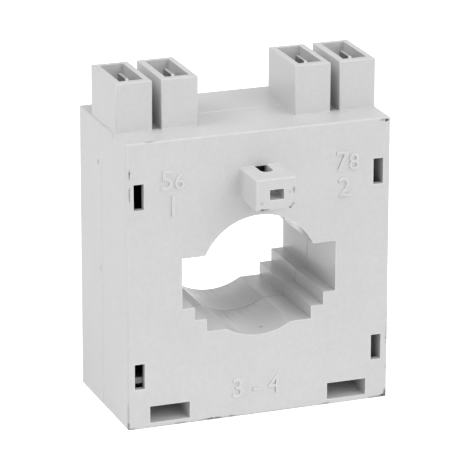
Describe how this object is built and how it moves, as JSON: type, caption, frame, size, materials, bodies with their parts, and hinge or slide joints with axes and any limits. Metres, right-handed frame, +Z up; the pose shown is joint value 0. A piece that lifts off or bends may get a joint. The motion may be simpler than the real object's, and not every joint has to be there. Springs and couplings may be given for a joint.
{
  "type": "current transformer",
  "caption": "Window current transformer in a moulded two-part case, with a stepped busbar and cable window, a clamp guide on the front and plug-on tabs in open towers on top.",
  "frame": {"origin": "centre of the bottom face of the case, halfway between its front and rear faces", "axes": "+Z up towards the terminal towers, -Y out of the front face with the clamp guide, +X to the right seen from the front"},
  "size_m": [0.0706, 0.0482, 0.0887],
  "materials": {
    "front_shell": "fine spark-eroded moulded plastic",
    "rear_shell": "fine spark-eroded moulded plastic",
    "terminal_block": "fine moulded plastic",
    "tabs": "tin-plated stamped brass",
    "core": "wound silicon steel strip",
    "core_cap": "moulded insulation",
    "copper_wire": "enamelled copper",
    "wrap": "black polyester tape",
    "sleeve": "woven insulating sleeve"
  },
  "bodies": {
    "root": {"front_shell": "front_shell", "rear_shell": "rear_shell", "terminal_block_left": "terminal_block", "terminal_block_right": "terminal_block", "tabs_left": "tabs", "tabs_right": "tabs", "core": "core", "core_cap_front": "core_cap", "core_cap_rear": "core_cap", "winding": "copper_wire", "winding_wrap": "wrap", "lead_left": "copper_wire", "lead_right": "copper_wire", "sleeve_left": "sleeve", "sleeve_right": "sleeve"}
  },
  "joints": []
}
